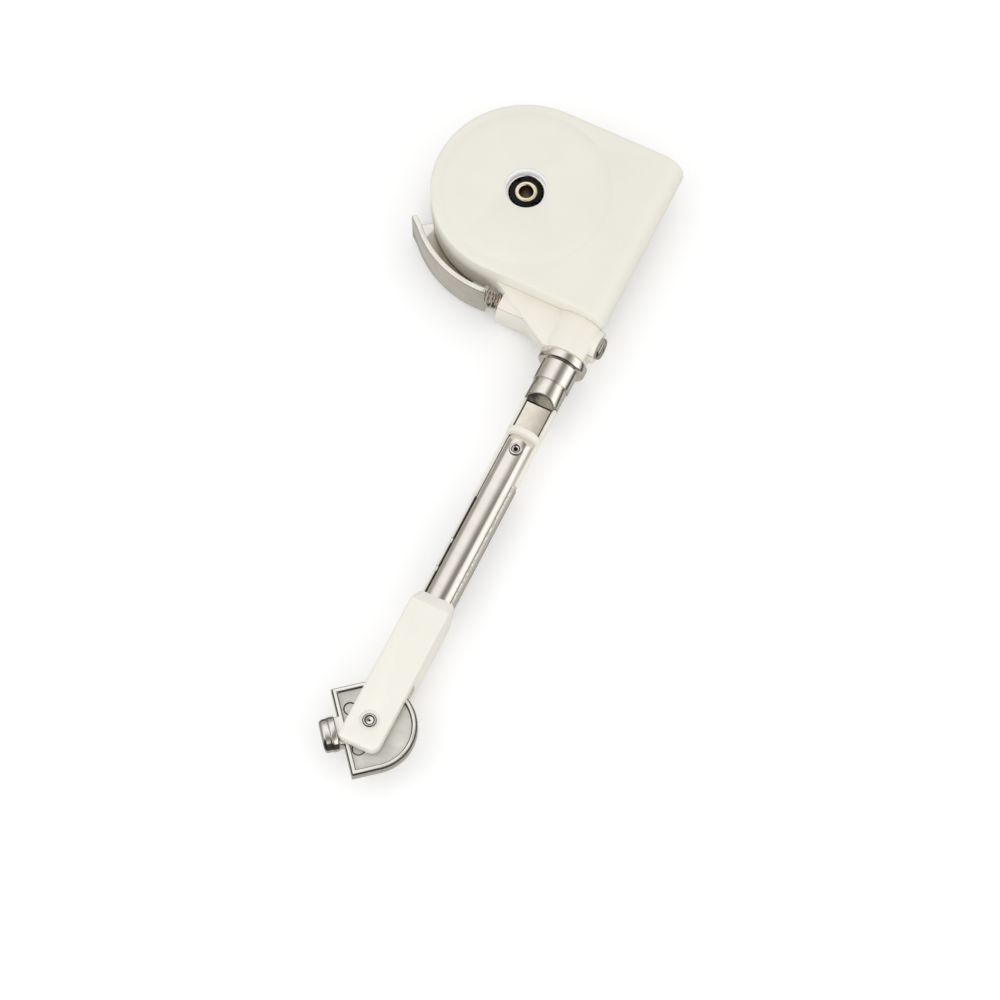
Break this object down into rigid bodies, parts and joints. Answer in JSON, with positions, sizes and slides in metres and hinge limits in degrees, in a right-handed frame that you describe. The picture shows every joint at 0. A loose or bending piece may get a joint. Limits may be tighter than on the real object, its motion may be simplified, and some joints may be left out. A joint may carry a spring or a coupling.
{
  "type": "lid stay",
  "caption": "Damped lid stay: swinging ivory housing with a release lever, telescopic metal arm and a pivoting end bracket with a stud.",
  "frame": {"origin": "swing axis of the housing, on the back face of the mounting plate", "axes": "+Z out of the face of the housing along the swing axis, -Y along the arm towards the end bracket, +X towards the arm's side"},
  "size_m": [0.0715, 0.203, 0.0201],
  "materials": {
    "ivory_shell": "satin",
    "ivory_case": "satin",
    "ivory_grip": "satin",
    "nickel": "polished",
    "nickel_satin": "brushed",
    "cast_plate": "plated cast",
    "steel": "plain",
    "brass": "turned",
    "dark_steel": "blackened",
    "damper_plastic": "moulded",
    "spring_steel": "polished"
  },
  "bodies": {
    "base": {"mounting_plate": "steel", "hub_post": "steel", "threaded_bush": "brass", "adjuster_ring": "dark_steel", "damper_rotor": "damper_plastic"},
    "housing": {"rear_case": "ivory_case", "front_cover": "ivory_shell", "chassis_plate": "steel", "damper_cup": "damper_plastic", "damper_cap": "damper_plastic", "damper_screws": "steel", "bearing_washer": "nickel", "arm_rod": "nickel", "clamp_screw": "nickel", "lever_spring": "spring_steel", "case_screws": "steel"},
    "lever": {"release_lever": "nickel_satin"},
    "inner_arm": {"guide": "ivory_case", "front_tube": "nickel_satin", "tube_rivet": "nickel"},
    "outer_arm": {"outer_channel": "nickel_satin", "grip": "ivory_grip", "pivot_rivet": "nickel", "friction_washers": "steel"},
    "end": {"end_bracket": "cast_plate"}
  },
  "joints": [
    {"name": "housing_swing", "type": "hinge", "parent": "base", "child": "housing", "pos_m": [0, 0, 0], "axis": [0, 0, 1], "range_deg": [0, 100]},
    {"name": "lever_release", "type": "hinge", "parent": "housing", "child": "lever", "pos_m": [0, 0, 0], "axis": [0, 0, 1], "range_deg": [0, 5], "stiffness_Nm_per_rad": 0.5, "springref_deg": -11.46, "deforming": ["lever_spring"]},
    {"name": "inner_slide", "type": "slide", "parent": "housing", "child": "inner_arm", "axis": [0, -1, 0], "range_m": [0, 0.042]},
    {"name": "outer_slide", "type": "slide", "parent": "inner_arm", "child": "outer_arm", "axis": [0, -1, 0], "range_m": [0, 0.038]},
    {"name": "end_pivot", "type": "hinge", "parent": "outer_arm", "child": "end", "pos_m": [0.0313, -0.1606, 0.0094], "axis": [0, 0, 1], "range_deg": [-60, 150]}
  ]
}
